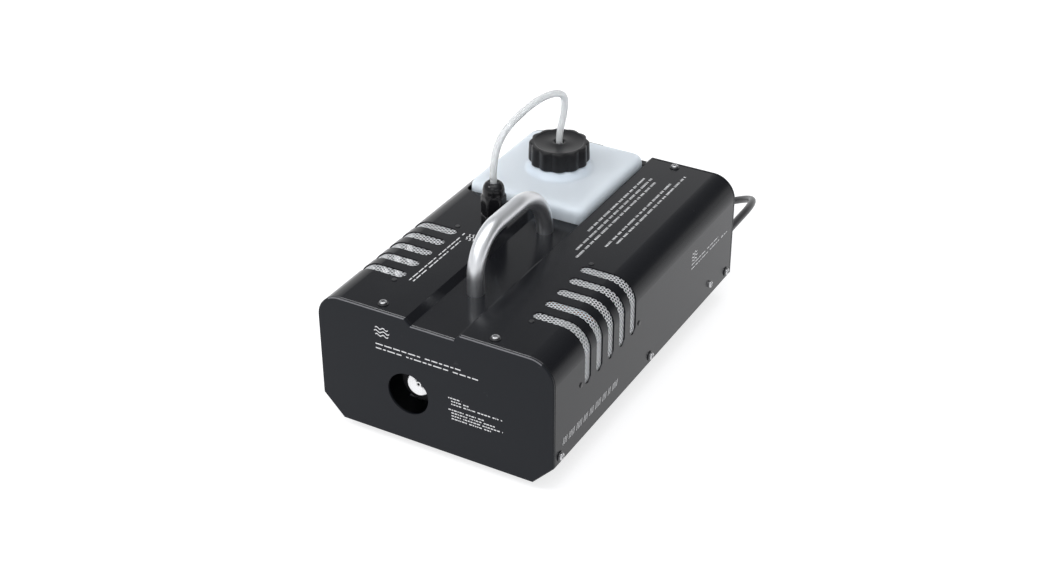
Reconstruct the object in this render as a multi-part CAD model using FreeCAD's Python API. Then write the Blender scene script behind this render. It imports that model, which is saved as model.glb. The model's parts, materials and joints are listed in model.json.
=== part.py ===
import FreeCAD, Part
import math
import os

# Fog machine: sheet-metal housing, fluid tank in a top bay, pump, heater, nozzle and mains cord.
# Millimetres. +Z up, +Y from the fog outlet towards the rear, +X to the right seen from the outlet.
# Origin: on the floor under the centre of the housing with its rear fittings.

V = FreeCAD.Vector
X, Y, Z = V(1, 0, 0), V(0, 1, 0), V(0, 0, 1)

# Housing
WIDTH = 240.0
LENGTH = 376.0
HEIGHT = 130.0
FRONT_Y = -192.5
REAR_Y = FRONT_Y + LENGTH
FOOT_H = 8.0
BASE_Z = FOOT_H
TOP_Z = BASE_Z + HEIGHT
PLATE_T = 2.0
SHEET_T = 1.5
PLATE_GAP = 0.7
CORNER_R = 24.0
CHAMFER_X = 21.0
CHAMFER_Z = 22.0
CHANNEL_HALF = 28.0
CHANNEL_D = 6.0
CHANNEL_Z = TOP_Z - CHANNEL_D
SEAM_Z = BASE_Z + CHAMFER_Z
HALF_W = WIDTH / 2

# Air slots over the two top corners
SLOT_W = 11.5
SLOT_PITCH = 21.9
SLOT_COUNT = 5
SLOT_FIRST_Y = FRONT_Y + 62.0
SLOT_TOP_X = 66.0
SLOT_SIDE_Z = BASE_Z + 75.5
MESH_T = 0.8

# Tank, its bay and its cap
TANK_X0, TANK_X1 = -102.0, 26.0
TANK_Y0, TANK_Y1 = FRONT_Y + 229.0, FRONT_Y + 366.0
TANK_Z0, TANK_Z1 = BASE_Z + 42.0, BASE_Z + 139.0
TANK_WALL = 2.5
BAY_GAP = 2.0
TRAY_T = 1.0
CAP_X, CAP_Y = -37.0, FRONT_Y + 298.0
CAP_R = 30.0
CAP_Z0, CAP_Z1 = BASE_Z + 147.0, BASE_Z + 167.0
NECK_R = 22.0
NECK_BORE_R = 18.5
NECK_Z1 = CAP_Z1 - 4.5
CAP_LOBES = 12

# Handle
TUBE_R = 8.0
HANDLE_Y0, HANDLE_Y1 = FRONT_Y + 75.0, FRONT_Y + 202.0
HANDLE_TOP = BASE_Z + 177.2
HANDLE_BENDS = [36.0, 53.0]

# Fog outlet, heater and pump
OUTLET_X, OUTLET_Z = -27.0, BASE_Z + 51.0
OUTLET_R = 21.0
NOZZLE_Y = FRONT_Y + 16.0
NOZZLE_R = 12.0
ORIFICE_R = 1.4
HEATER_Y0, HEATER_Y1 = FRONT_Y + 44.0, FRONT_Y + 180.0
HEATER_HW, HEATER_HH = 25.0, 21.0
WRAP_T = 8.0
PUMP_X, PUMP_Z = 68.0, BASE_Z + 42.0
PUMP_Y0, PUMP_Y1 = FRONT_Y + 100.0, FRONT_Y + 172.0
PISTON_R = 4.0

# Hose and its gland
HOSE_R, HOSE_BORE = 3.4, 2.2
GLAND_X, GLAND_Y = -43.5, FRONT_Y + 181.5
GLAND_BASE_H, GLAND_TOP_H = 12.0, 45.0

# Rear fittings
SWITCH_X, SWITCH_Z = 72.0, BASE_Z + 92.0
FUSE_X, FUSE_Z = 48.0, BASE_Z + 50.0
SOCKET_X, SOCKET_Z = 72.0, BASE_Z + 50.0
CORD_X, CORD_Z = 99.0, BASE_Z + 44.0
CORD_R = 4.0

# Cord put away as a round coil behind the housing
COIL_X, COIL_Y = -46.0, FRONT_Y + 462.0
COIL_MID_R = 44.0
COIL_TURNS = 4
COIL_H = 2 * CORD_R * (COIL_TURNS + 1)

OUT = {}


def box(x0, x1, y0, y1, z0, z1):
    return Part.makeBox(x1 - x0, y1 - y0, z1 - z0, V(x0, y0, z0))


def rod(base, axis, radius, length):
    return Part.makeCylinder(radius, length, base, axis)


def pipe_ring(base, axis, outer, inner, length):
    ring = rod(base, axis, outer, length)
    return ring.cut(rod(base - axis, axis, inner, length + 2))


def cone(base, axis, r0, r1, length):
    return Part.makeCone(r0, r1, length, base, axis)


def joined(shapes):
    body = shapes[0]
    for other in shapes[1:]:
        body = body.fuse(other)
    return body.removeSplitter()


def less(body, cutters):
    for cutter in cutters:
        body = body.cut(cutter)
    return body


def hexagon(base, axis, across, length):
    """Hexagonal prism, flats `across` apart, on an axis along X, Y or Z."""
    radius = across / math.sqrt(3)
    u = X if abs(axis.dot(X)) < 0.5 else Y
    w = axis.cross(u)
    ring = []
    for i in range(7):
        a = math.radians(60 * i + 30)
        ring.append(base + u * (radius * math.cos(a)) + w * (radius * math.sin(a)))
    return Part.Face(Part.makePolygon(ring)).extrude(axis * length)


def softened(shape, radius, keep=None):
    """Shape with its edges rounded, all of them or those that keep() chooses."""
    edges = [e for e in shape.Edges if keep is None or keep(e)]
    return shape.makeFillet(radius, edges)


def save(name, *shapes):
    OUT[name] = shapes[0] if len(shapes) == 1 else Part.makeCompound(list(shapes))


def outline(inset, y):
    """Cross-section wire of the housing: chamfered below, rounded above, a channel along the top."""
    w = HALF_W - inset
    bottom, top = BASE_Z + inset, TOP_Z - inset
    reach = math.hypot(CHAMFER_X, CHAMFER_Z)
    slope = CHAMFER_Z / CHAMFER_X
    px = HALF_W - CHAMFER_X - inset * CHAMFER_Z / reach
    pz = BASE_Z + inset * CHAMFER_X / reach
    cx = px + (bottom - pz) / slope
    cz = pz + (w - px) * slope
    half = CHANNEL_HALF + inset * math.tan(math.radians(22.5))
    floor = CHANNEL_Z - inset
    r = CORNER_R - inset
    k = math.sqrt(0.5) * r
    ax, az = w - r, top - r

    def p(x, z):
        return V(x, y, z)

    right = [
        Part.LineSegment(p(0, bottom), p(cx, bottom)),
        Part.LineSegment(p(cx, bottom), p(w, cz)),
        Part.LineSegment(p(w, cz), p(w, az)),
        Part.Arc(p(w, az), p(ax + k, az + k), p(ax, top)),
        Part.LineSegment(p(ax, top), p(half, top)),
        Part.LineSegment(p(half, top), p(half - CHANNEL_D, floor)),
        Part.LineSegment(p(half - CHANNEL_D, floor), p(0, floor)),
    ]
    edges = [piece.toShape() for piece in right]
    other = [e.mirror(V(0, y, 0), X) for e in edges]
    return Part.Wire(Part.__sortEdges__(edges + other))


def slab(inset, y0, y1):
    """Solid housing cross-section between two stations along Y."""
    return Part.Face(outline(inset, y0)).extrude(V(0, y1 - y0, 0))


def skin(outer, inner, y0, y1):
    return slab(outer, y0, y1).cut(slab(inner, y0 - 1, y1 + 1))


# ---- fasteners -------------------------------------------------------------------------------

TOP_SCREWS = [(-57.0, FRONT_Y + 12.0), (57.0, FRONT_Y + 12.0), (57.0, FRONT_Y + 367.0)]
SIDE_SCREWS = [(sx, FRONT_Y + yy, BASE_Z + 29.0) for sx in (-1, 1) for yy in (12.0, 189.0, 364.0)]
EARTH_SCREW = (1, FRONT_Y + 323.0, BASE_Z + 36.0)
TOP_RIVETS = [(sx * xx, FRONT_Y + yy) for sx in (-1, 1) for xx, yy in ((70.5, 50.5), (71.0, 160.5))]
SIDE_RIVETS = [(sx, FRONT_Y + yy, BASE_Z + 80.5) for sx in (-1, 1) for yy in (49.5, 162.5)]
FEET = [(sx * 78.0, FRONT_Y + yy) for sx in (-1, 1) for yy in (40.0, 336.0)]
WASHER_T = 0.8


def cross_recess(top, axis, size, depth):
    u = X if abs(axis.dot(X)) < 0.5 else Y
    w = axis.cross(u)
    cuts = []
    for a, b in ((u, w), (w, u)):
        ring = [top + a * (i * size) + b * (j * 0.45) for i, j in
                ((-1, -1), (1, -1), (1, 1), (-1, 1), (-1, -1))]
        cuts.append(Part.Face(Part.makePolygon(ring)).extrude(axis * -depth))
    return cuts[0].fuse(cuts[1])


def pan_screw(seat, axis, head_r=3.5, head_h=2.1, shank_r=1.5, length=8.0):
    """Cross-recessed pan-head screw, `seat` under its head, `axis` out of its head."""
    head = rod(seat, axis, head_r, head_h)
    rim = [e for e in head.Edges if abs((e.CenterOfMass - seat).dot(axis) - head_h) < 0.01]
    head = head.makeFillet(head_h * 0.55, rim)
    body = joined([head, rod(seat, axis * -1, shank_r, length)])
    return body.cut(cross_recess(seat + axis * (head_h + 0.1), axis, head_r * 0.62, 1.3))


def rivet(seat, axis):
    """Blind rivet with a low domed head and a short set tail."""
    head = rod(seat, axis, 2.4, 0.9)
    rim = [e for e in head.Edges if abs((e.CenterOfMass - seat).dot(axis) - 0.9) < 0.01]
    return joined([head.makeFillet(0.6, rim), rod(seat, axis * -1, 1.2, 4.5)])


def side_point(sx, y, z, out=0.0):
    return V(sx * (HALF_W + out), y, z)


def make_fasteners():
    tops = [V(x, y, TOP_Z) for x, y in TOP_SCREWS]
    sides = [(side_point(*p), X * p[0]) for p in SIDE_SCREWS]
    earth = side_point(*EARTH_SCREW)
    save("top_screws", *[pan_screw(p + Z * WASHER_T, Z) for p in tops])
    wall_screws = [pan_screw(p + n * WASHER_T, n) for p, n in sides]
    wall_screws.append(pan_screw(earth, X, head_h=2.1 + WASHER_T))
    save("side_screws", *wall_screws)
    rings = [pipe_ring(p, Z, 4.8, 1.6, WASHER_T) for p in tops]
    rings += [pipe_ring(p, n, 4.8, 1.6, WASHER_T) for p, n in sides]
    save("screw_washers", *rings)
    rivets = [rivet(V(x, y, TOP_Z), Z) for x, y in TOP_RIVETS]
    rivets += [rivet(side_point(*p), X * p[0]) for p in SIDE_RIVETS]
    save("mesh_rivets", *rivets)


def fastener_holes(radius_screw=1.6, radius_rivet=1.3):
    """Through-holes that the cover, its flanges and the meshes share."""
    holes = [rod(V(x, y, TOP_Z - 12), Z, radius_screw, 14) for x, y in TOP_SCREWS]
    for p in SIDE_SCREWS + [EARTH_SCREW]:
        holes.append(rod(side_point(*p, out=-12), X * p[0], radius_screw, 14))
    holes += [rod(V(x, y, TOP_Z - 6), Z, radius_rivet, 8) for x, y in TOP_RIVETS]
    for p in SIDE_RIVETS:
        holes.append(rod(side_point(*p, out=-6), X * p[0], radius_rivet, 8))
    return holes


# ---- housing ---------------------------------------------------------------------------------

def end_plate(y0, towards, top_tabs):
    """End plate with bent tabs that reach under the cover; `towards` points inside."""
    plate = slab(0, y0, y0 + PLATE_T)
    face = y0 + PLATE_T if towards > 0 else y0
    ya, yb = sorted((face, face + towards * 16.0))
    tabs = []
    for sx in (-1, 1):
        if sx in top_tabs:
            x0, x1 = sorted((sx * 48.0, sx * 66.0))
            tabs.append(box(x0, x1, ya, yb, TOP_Z - SHEET_T - 1.5, TOP_Z - SHEET_T))
        wall = HALF_W - 2 * SHEET_T
        x0, x1 = sorted((sx * (wall - 1.5), sx * wall))
        tabs.append(box(x0, x1, ya, yb, SEAM_Z + 1, SEAM_Z + 15))
    return joined([plate] + tabs)


def make_front_plate(holes):
    plate = end_plate(FRONT_Y, 1, (-1, 1))
    edge = [e for e in plate.Edges if e.BoundBox.YMax < FRONT_Y + 0.01]
    plate = plate.makeChamfer(0.8, edge)
    window = rod(V(OUTLET_X, FRONT_Y - 1, OUTLET_Z), Y, OUTLET_R, PLATE_T + 2)
    save("front_plate", less(plate, [window] + holes))


def make_rear_plate(holes):
    plate = end_plate(REAR_Y - PLATE_T, -1, (1,))
    y = REAR_Y - PLATE_T - 1
    cuts = [
        box(SWITCH_X - 11, SWITCH_X + 11, y, y + 4, SWITCH_Z - 14, SWITCH_Z + 14),
        rod(V(FUSE_X, y, FUSE_Z), Y, 6.4, 4),
        rod(V(SOCKET_X, y, SOCKET_Z), Y, 8.2, 4),
        rod(V(CORD_X, y, CORD_Z), Y, 8.2, 4),
    ]
    save("rear_plate", less(plate, cuts + holes))


def make_base_tray(holes):
    """Floor and chamfers of the housing, with flanges standing inside the cover's sides."""
    y0, y1 = FRONT_Y + PLATE_T, REAR_Y - PLATE_T
    keep = box(-HALF_W - 1, HALF_W + 1, y0, y1, 0, SEAM_Z)
    pan = skin(0, SHEET_T, y0, y1).common(keep)
    for sx in (-1, 1):
        x0, x1 = sorted((sx * (HALF_W - SHEET_T), sx * (HALF_W - 2 * SHEET_T)))
        pan = pan.fuse(box(x0, x1, y0, y1, SEAM_Z - 1, SEAM_Z + 18))
    foot_holes = [rod(V(x, y, 0), Z, 2.2, 12) for x, y in FEET]
    vents = []
    for i in range(6):
        yy = FRONT_Y + 70 + 14 * i
        vents.append(box(OUTLET_X - 16, OUTLET_X + 16, yy, yy + 4, BASE_Z - 1, BASE_Z + 3))
    save("base_tray", less(pan.removeSplitter(), foot_holes + vents + holes))


def slot_cutter(sx, y):
    """Round-ended slot that starts on the top, wraps the corner and ends on the side."""
    r = SLOT_W / 2
    tx, sz = SLOT_TOP_X + r, SLOT_SIDE_Z + r
    x0, x1 = sorted((sx * tx, sx * (HALF_W + 5)))
    cut = box(x0, x1, y - r, y + r, sz, TOP_Z + 5)
    cut = cut.fuse(rod(V(sx * tx, y, TOP_Z - 12), Z, r, 20))
    return cut.fuse(rod(V(sx * (HALF_W - 12), y, sz), X * sx, r, 20))


def slot_stations():
    return [SLOT_FIRST_Y + SLOT_PITCH * i for i in range(SLOT_COUNT)]


def bay_box(grow, z0, z1):
    return box(TANK_X0 - BAY_GAP - grow, TANK_X1 + BAY_GAP + grow,
               TANK_Y0 - BAY_GAP - grow, TANK_Y1 + BAY_GAP + grow, z0, z1)


def make_cover(holes):
    y0 = FRONT_Y + PLATE_T + PLATE_GAP
    y1 = REAR_Y - PLATE_T - PLATE_GAP
    block = slab(0, y0, y1)
    block = block.makeChamfer(0.5, [e for e in block.Edges if e.BoundBox.YMax < y0 + 0.01])
    shell = block.cut(slab(SHEET_T, y0 - 1, y1 + 1))
    shell = shell.common(box(-HALF_W - 1, HALF_W + 1, y0, y1, SEAM_Z + 0.4, TOP_Z + 1))
    wall = HALF_W - SHEET_T
    cuts = [slot_cutter(sx, y) for sx in (-1, 1) for y in slot_stations()]
    cuts.append(box(-wall, wall, y0 - 1, y1 + 1, SEAM_Z - 1, SEAM_Z + 6))
    bay = bay_box(0, CHANNEL_Z - 12, TOP_Z + 2)
    upright = [e for e in bay.Edges if e.BoundBox.ZLength > 10]
    cuts.append(bay.makeFillet(9.0, upright))
    cuts.append(rod(V(GLAND_X, GLAND_Y, TOP_Z - 5), Z, 8.2, 8))
    for y in (HANDLE_Y0, HANDLE_Y1):
        cuts.append(rod(V(0, y, CHANNEL_Z - 5), Z, 3.2, 8))
    save("cover", less(shell, cuts + holes))


def make_meshes(holes):
    """Curved guard sheets behind the slots. Their perforation is finer than this solid shows."""
    y0, y1 = SLOT_FIRST_Y - 16.5, SLOT_FIRST_Y + SLOT_PITCH * (SLOT_COUNT - 1) + 20
    sheet = skin(SHEET_T, SHEET_T + MESH_T, y0, y1)
    parts = []
    for sx in (-1, 1):
        x0, x1 = sorted((sx * (SLOT_TOP_X - 7), sx * (HALF_W + 1)))
        part = sheet.common(box(x0, x1, y0, y1, SLOT_SIDE_Z - 5, TOP_Z + 1))
        parts.append(less(part, holes))
    save("vent_meshes", *parts)


def make_feet():
    feet, screws = [], []
    for x, y in FEET:
        base = V(x, y, 0)
        foot = cone(base, Z, 9.0, 10.5, FOOT_H)
        foot = foot.cut(rod(base - Z, Z, 4.5, 5.0)).cut(rod(base, Z, 2.2, 12))
        feet.append(foot)
        screws.append(joined([rod(V(x, y, 1.6), Z, 4.0, 2.4), rod(V(x, y, 3), Z, 2.0, 12.0)]))
        screws[-1] = joined([screws[-1], hexagon(V(x, y, BASE_Z + SHEET_T), Z, 7.0, 3.0)])
    save("feet", *feet)
    save("foot_screws", *screws)


# ---- handle ----------------------------------------------------------------------------------

def rounded_path(points, radii):
    """Wire of straight runs joined by tangent arcs."""
    edges = []
    start = points[0]
    for i in range(1, len(points) - 1):
        a = (points[i - 1] - points[i]).normalize()
        b = (points[i + 1] - points[i]).normalize()
        half = (math.pi - math.acos(max(-1.0, min(1.0, a.dot(b))))) / 2
        reach = radii[i - 1] * math.tan(half)
        p, q = points[i] + a * reach, points[i] + b * reach
        centre = points[i] + (a + b).normalize() * (radii[i - 1] / math.cos(half))
        middle = centre + (points[i] - centre).normalize() * radii[i - 1]
        edges.append(Part.LineSegment(start, p).toShape())
        edges.append(Part.Arc(p, middle, q).toShape())
        start = q
    edges.append(Part.LineSegment(start, points[-1]).toShape())
    return Part.Wire(edges)


def sweep(path, radius, bore=0.0):
    start = path.Edges[0].Vertexes[0].Point
    other = path.Edges[0].Vertexes[1].Point
    way = (other - start).normalize()
    solid = path.makePipeShell([Part.Wire(Part.makeCircle(radius, start, way))], True, True)
    if bore:
        hole = path.makePipeShell([Part.Wire(Part.makeCircle(bore, start, way))], True, True)
        solid = solid.cut(hole)
    return solid


def make_handle():
    corners = [V(0, HANDLE_Y0, CHANNEL_Z), V(0, HANDLE_Y0, HANDLE_TOP),
               V(0, HANDLE_Y1, HANDLE_TOP), V(0, HANDLE_Y1, CHANNEL_Z)]
    bar = sweep(rounded_path(corners, HANDLE_BENDS), TUBE_R)
    screws, washers = [], []
    for y in (HANDLE_Y0, HANDLE_Y1):
        bar = bar.cut(rod(V(0, y, CHANNEL_Z - 1), Z, 3.05, 17))
        under = V(0, y, CHANNEL_Z - SHEET_T)
        washers.append(pipe_ring(under, Z * -1, 8.0, 3.2, 1.2))
        seat = under - Z * 1.2
        screws.append(joined([hexagon(seat, Z * -1, 10.0, 4.0), rod(seat, Z, 3.0, 15.0)]))
    save("handle", bar)
    save("handle_screws", *screws, *washers)


# ---- tank, tray, cap and hose ----------------------------------------------------------------

def make_tray():
    """Box of welded sheets that the tank stands in, on four channel feet, and its felt rests."""
    z0 = TANK_Z0 - 2.0 - TRAY_T
    rim = CHANNEL_Z - SHEET_T - 0.5
    x0, x1 = TANK_X0 - BAY_GAP, TANK_X1 + BAY_GAP
    y0, y1 = TANK_Y0 - BAY_GAP, TANK_Y1 + BAY_GAP
    t, low = TRAY_T, z0 + TRAY_T
    sheets = [box(x0 - t, x1 + t, y0 - t, y1 + t, z0, low),
              box(x0 - t, x0, y0 - t, y1 + t, low, rim), box(x1, x1 + t, y0 - t, y1 + t, low, rim),
              box(x0, x1, y0 - t, y0, low, rim), box(x0, x1, y1, y1 + t, low, rim)]
    legs = []
    for xx in (-88.0, 14.0):
        for yy in (TANK_Y0 + 12, TANK_Y1 - 24):
            leg = box(xx - 6, xx + 6, yy, yy + 12, BASE_Z + SHEET_T, z0)
            legs.append(leg.cut(box(xx - 5, xx + 5, yy - 1, yy + 11, BASE_Z, z0 + 1)))
    save("tank_tray", *sheets, *legs)
    pads = [box(xx, xx + 90, yy, yy + 12, z0 + TRAY_T, TANK_Z0)
            for xx in (-82.0,) for yy in (TANK_Y0 + 20, TANK_Y1 - 32)]
    save("tank_pads", *pads)


def make_tank():
    """Blow-moulded bottle with rounded edges, a raised seat under the cap and a neck."""
    outer = box(TANK_X0, TANK_X1, TANK_Y0, TANK_Y1, TANK_Z0, TANK_Z1)
    upright = [e for e in outer.Edges if e.BoundBox.ZLength > 50]
    outer = outer.makeFillet(12.0, upright)
    flat = [e for e in outer.Edges if e.BoundBox.ZLength < 1]
    outer = outer.makeFillet(7.0, flat)
    t = TANK_WALL
    inner = box(TANK_X0 + t, TANK_X1 - t, TANK_Y0 + t, TANK_Y1 - t, TANK_Z0 + t, TANK_Z1 - t)
    upright = [e for e in inner.Edges if e.BoundBox.ZLength > 50]
    inner = inner.makeFillet(9.5, upright)
    flat = [e for e in inner.Edges if e.BoundBox.ZLength < 1]
    inner = inner.makeFillet(4.5, flat)
    foot = V(CAP_X, CAP_Y, TANK_Z1 - 1)
    collar = cone(foot, Z, CAP_R + 4.0, CAP_R - 1.5, CAP_Z0 - TANK_Z1 + 0.5)
    neck = rod(foot, Z, NECK_R, NECK_Z1 - TANK_Z1 + 1)
    throat = rod(V(CAP_X, CAP_Y, TANK_Z1 - 10), Z, NECK_BORE_R, 60)
    save("tank", less(joined([outer, collar, neck]), [inner, throat]))


def cap_outline(radius, lobes, depth, base, height):
    body = rod(base, Z, radius, height)
    pitch = 2 * math.pi / lobes
    for i in range(lobes):
        a = pitch * (i + 0.5)
        reach = radius + 9.0 - depth
        groove = base + V(reach * math.cos(a), reach * math.sin(a), -1)
        body = body.cut(rod(groove, Z, 9.0, height + 2))
    return body


def make_cap():
    base = V(CAP_X, CAP_Y, CAP_Z0)
    high = CAP_Z1 - CAP_Z0
    cap = cap_outline(CAP_R, CAP_LOBES, 1.6, base, high)
    cap = cap.common(cone(base, Z, CAP_R + 0.6, CAP_R - 0.3, high))
    cavity = rod(base - Z, Z, NECK_R + 0.5, high - 3.0 + 1)
    cap = less(cap, [cavity, rod(base, Z, HOSE_R + 1.2, high + 5)])
    save("tank_cap", cap)
    seal = pipe_ring(V(CAP_X, CAP_Y, NECK_Z1 + 0.02), Z, NECK_R + 0.1, HOSE_R + 1.2, 1.1)
    save("cap_seal", seal)


HOSE_ROUTE = [
    V(-43.9, FRONT_Y + 181.5, BASE_Z + 178.5), V(-43.9, FRONT_Y + 182.5, BASE_Z + 198.0),
    V(-43.0, FRONT_Y + 198.0, BASE_Z + 219.0), V(-40.6, FRONT_Y + 242.0, BASE_Z + 227.5),
    V(-38.6, FRONT_Y + 280.0, BASE_Z + 225.5), V(-36.8, FRONT_Y + 308.5, BASE_Z + 214.5),
    V(-36.8, FRONT_Y + 308.5, BASE_Z + 195.0), V(-37.0, FRONT_Y + 298.0, BASE_Z + 176.0),
    V(-37.0, FRONT_Y + 298.0, BASE_Z + 166.0),
]


def free_line(name, points):
    """Path of a limp line: each corner's arc uses the shorter of its two runs."""
    radii = []
    for i in range(1, len(points) - 1):
        a, b = points[i] - points[i - 1], points[i + 1] - points[i]
        half = a.getAngle(b) / 2
        radii.append(0.45 * min(a.Length, b.Length) / math.tan(half))
    print(name, "bend radii", [round(r, 1) for r in radii])
    return rounded_path(points, radii)


def make_hose():
    path = free_line("suction hose", HOSE_ROUTE)
    print("suction hose length", round(path.Length, 1))
    save("suction_hose", sweep(path, HOSE_R, HOSE_BORE))
    bottom = TANK_Z0 + TANK_WALL + 14.0
    top = HOSE_ROUTE[-1].z - 1.6
    save("dip_tube", pipe_ring(V(CAP_X, CAP_Y, bottom), Z, HOSE_R, HOSE_BORE, top - bottom))
    foot = V(CAP_X, CAP_Y, TANK_Z0 + TANK_WALL + 0.3)
    weight = rod(foot, Z, 7.0, 18.0).cut(rod(foot + Z * 5, Z, HOSE_R, 20))
    weight = weight.cut(rod(foot - Z, Z, 2.0, 10))
    save("hose_filter", weight)


def make_gland():
    """Cable gland reused as the hose's feed-through: hex body, domed nut, seal and lock nut."""
    c = V(GLAND_X, GLAND_Y, TOP_Z)
    base, top = GLAND_BASE_H, GLAND_TOP_H
    thread = rod(c + Z * base, Z, 9.5, 21.0)
    body = joined([hexagon(c, Z, 22.0, base), thread, rod(c - Z * 12, Z, 8.0, 12)])
    save("gland_body", body.cut(rod(c - Z * 13, Z, 5.0, 60)))
    low = hexagon(c + Z * (base + 0.4), Z, 22.0, 20.6)
    low = low.common(cone(c + Z * base, Z, 12.7, 11.8, 21.0))
    dome = rod(c + Z * (top - 13), Z, 10.6, 13.0)
    dome = softened(dome, 6.0, lambda e: e.BoundBox.ZMin > c.z + top - 0.1)
    steps = [(9.6, base + 21.7), (6.0, top - 4.5), (HOSE_R + 0.6, top + 5)]
    save("gland_nut", less(joined([low, dome]), [rod(c, Z, r, high) for r, high in steps]))
    save("gland_seal", pipe_ring(c + Z * (base + 21.7), Z, 5.9, HOSE_R, 6.4))
    lock = hexagon(c - Z * (SHEET_T + 5), Z, 22.0, 5.0)
    save("gland_locknut", lock.cut(rod(c - Z * 20, Z, 8.05, 30)))


# ---- heater and nozzle -----------------------------------------------------------------------

def make_nozzle():
    c = V(OUTLET_X, NOZZLE_Y, OUTLET_Z)
    face = rod(c, Y, NOZZLE_R, 9.0)
    rim = [e for e in face.Edges if e.BoundBox.YMax < NOZZLE_Y + 0.1]
    face = face.makeFillet(0.8, rim)
    dish = cone(c - Y * 0.01, Y, 10.6, 2.6, 1.2)
    tip = joined([face, rod(c + Y * 9, Y, 6.0, HEATER_Y0 - NOZZLE_Y - 9 + 10)])
    save("nozzle", less(tip, [dish, rod(c - Y, Y, ORIFICE_R, 60)]))
    ring = hexagon(c + Y * 9.3, Y, 30.0, 7.0)
    save("nozzle_nut", ring.cut(rod(c, Y, 6.05, 40)))
    guard = pipe_ring(c + Y * 3.5, Y, 17.5, NOZZLE_R + 1.1, 3.0)
    teeth = []
    for i in range(24):
        a = 2 * math.pi * i / 24
        teeth.append(rod(c + V(17.5 * math.cos(a), 3.0, 17.5 * math.sin(a)), Y, 0.9, 4.0))
    guard = less(guard, teeth)
    skirt = pipe_ring(c + Y * 6.5, Y, 19.2, 17.8, HEATER_Y0 - NOZZLE_Y - 6.5)
    collar = pipe_ring(c + Y * 5.0, Y, 19.2, 16.4, 1.5)
    save("nozzle_guard", joined([guard, collar, skirt]))


def make_heater():
    cx, cz = OUTLET_X, OUTLET_Z
    long = HEATER_Y1 - HEATER_Y0
    block = box(cx - HEATER_HW, cx + HEATER_HW, HEATER_Y0, HEATER_Y1, cz - HEATER_HH, cz + HEATER_HH)
    block = softened(block, 5.0, lambda e: e.BoundBox.YLength > 100)
    thread = rod(V(cx, HEATER_Y0 - 1, cz), Y, 6.05, 12)
    passage = rod(V(cx, HEATER_Y0, cz), Y, 2.5, long + 1)
    socket = rod(V(cx, HEATER_Y1 - 10, cz), Y, 5.05, 12)
    wells = [rod(V(cx + sx * 15, HEATER_Y0 + 8, cz), Y, 4.1, 200) for sx in (-1, 1)]
    save("heater_block", less(block, [thread, passage, socket] + wells))
    rods = []
    for sx in (-1, 1):
        body = rod(V(cx + sx * 15, HEATER_Y0 + 9, cz), Y, 4.0, long - 1)
        rods.append(body.fuse(rod(V(cx + sx * 15, HEATER_Y1 + 8, cz), Y, 1.2, 8)))
    save("heater_rods", *rods)
    inlet = joined([hexagon(V(cx, HEATER_Y1, cz), Y, 12.0, 6.0), rod(V(cx, HEATER_Y1 - 10, cz), Y, 5.0, 22)])
    save("inlet_fitting", inlet.cut(rod(V(cx, HEATER_Y1 - 11, cz), Y, 2.0, 40)))
    make_thermal_controls(cx, cz + HEATER_HH)
    make_heater_wrap(cx, cz)


def make_thermal_controls(cx, top):
    """Thermostat with two blades and a one-shot thermal fuse, both flat on the heater block."""
    y = HEATER_Y0 + 50
    stat = [rod(V(cx, y, top), Z, 8.0, 7)]
    for x in (cx - 7.5, cx + 7.5):
        stat.append(box(x - 1.5, x + 1.5, y - 2, y + 2, top + 5, top + 13))
    save("thermostat", joined(stat))
    save("thermal_fuse", rod(V(cx, y + 40, top), Z, 6.0, 9))


def make_heater_wrap(cx, cz):
    """Wool sleeve round the heater block and the two cradles that carry it off the floor."""
    w, h, t = HEATER_HW + 0.3, HEATER_HH + 0.3, WRAP_T
    y0, y1 = HEATER_Y0 + 4, HEATER_Y1 - 4
    wool = box(cx - w - t, cx + w + t, y0, y1, cz - h - t, cz + h + t)
    wool = softened(wool, 9.0, lambda e: e.BoundBox.YLength > 100)
    wool = wool.cut(box(cx - w, cx + w, y0 - 1, y1 + 1, cz - h, cz + h))
    ports = [rod(V(cx, HEATER_Y0 + dy, cz + 10), Z, 9.5, 40) for dy in (50, 90)]
    save("heater_wool", less(wool, ports))
    floor, seat = BASE_Z + SHEET_T, cz - h - t
    cradles = []
    for y in (HEATER_Y0 + 12, HEATER_Y1 - 24):
        band = box(cx - w - t - 1.5, cx + w + t + 1.5, y, y + 12, seat - 1.2, cz + 4)
        pieces = [band.cut(box(cx - w - t, cx + w + t, y - 1, y + 13, seat, cz + 5))]
        for sx in (-1, 1):
            pieces.append(box(cx + sx * 24 - 0.8, cx + sx * 24 + 0.8, y, y + 12, floor, seat - 1))
            pieces.append(box(cx + sx * 30 - 6.8, cx + sx * 30 + 6.8, y, y + 12, floor, floor + 1.2))
        cradles.append(joined(pieces))
    save("heater_cradles", *cradles)


# ---- pump ------------------------------------------------------------------------------------

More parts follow.
